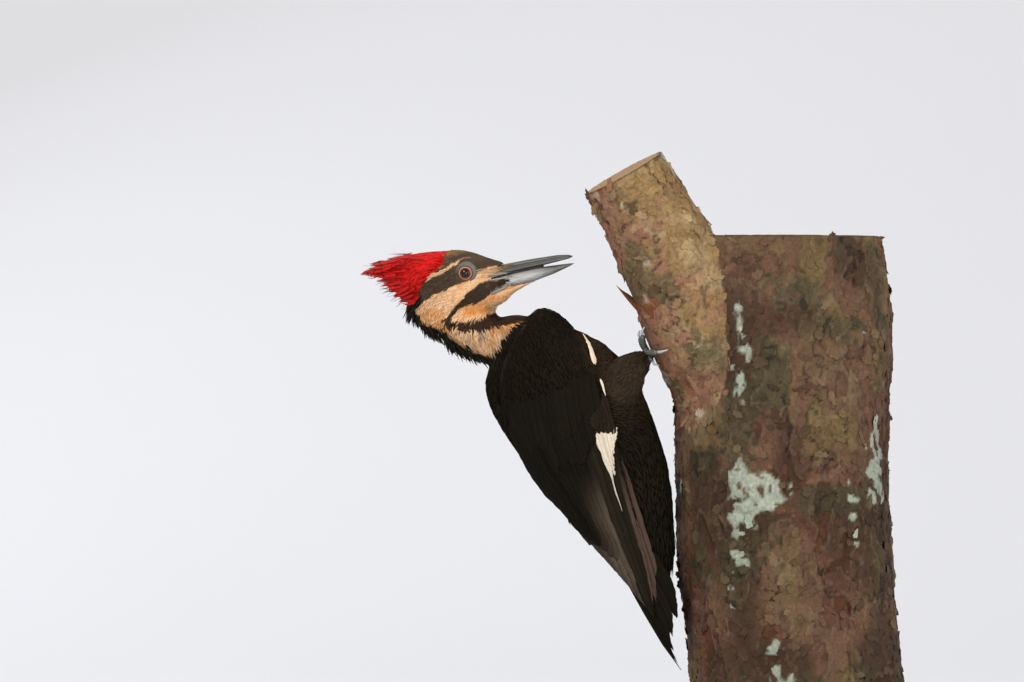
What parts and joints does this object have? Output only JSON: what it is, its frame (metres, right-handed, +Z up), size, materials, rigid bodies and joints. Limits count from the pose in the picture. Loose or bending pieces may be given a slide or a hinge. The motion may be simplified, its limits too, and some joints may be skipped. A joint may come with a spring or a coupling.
{
  "type": "female pileated woodpecker display model",
  "caption": "Life-size still model of a female pileated woodpecker clinging to a short forked length of pine trunk, on a plain display stand.",
  "frame": {"origin": "middle of the underside of the stand's base", "axes": "+Z up; the bird clings to the trunk's left side and its bill points along +X; its right side faces -Y"},
  "size_m": [0.3849, 0.196, 0.4542],
  "materials": {
    "stand_wood": "satin dark-stained hardwood",
    "stand_metal": "brushed steel rod",
    "pine_bark": "flaky pine bark with grey-green lichen",
    "bill_horn": "slate and pale horn, slightly worn",
    "cream_plumage": "soft feathers, cream with black stripes",
    "red_plumage": "loose pointed red feathers",
    "black_plumage": "brownish-black feathers, faint sheen",
    "eye": "wet gloss, buff iris and black pupil",
    "foot_skin": "grey scaly skin",
    "claw_horn": "dark horn"
  },
  "bodies": {
    "root": {"stand_base": "stand_wood", "stand_rod_1": "stand_metal", "stand_rod_2": "stand_metal", "perch": "pine_bark", "bill_upper": "bill_horn", "bill_lower": "bill_horn", "head": "cream_plumage", "crest": "red_plumage", "neck": "cream_plumage", "body": "black_plumage", "eye_right": "eye", "eye_left": "eye", "leg_right": "black_plumage", "foot_right": "foot_skin", "claw_right_inner_front": "claw_horn", "claw_right_outer_front": "claw_horn", "claw_right_outer_side": "claw_horn", "claw_right_rear": "claw_horn", "leg_left": "black_plumage", "foot_left": "foot_skin", "claw_left_inner_front": "claw_horn", "claw_left_outer_front": "claw_horn", "claw_left_outer_side": "claw_horn", "claw_left_rear": "claw_horn", "wing_right": "black_plumage", "wing_left": "black_plumage", "tail": "black_plumage"}
  },
  "joints": []
}
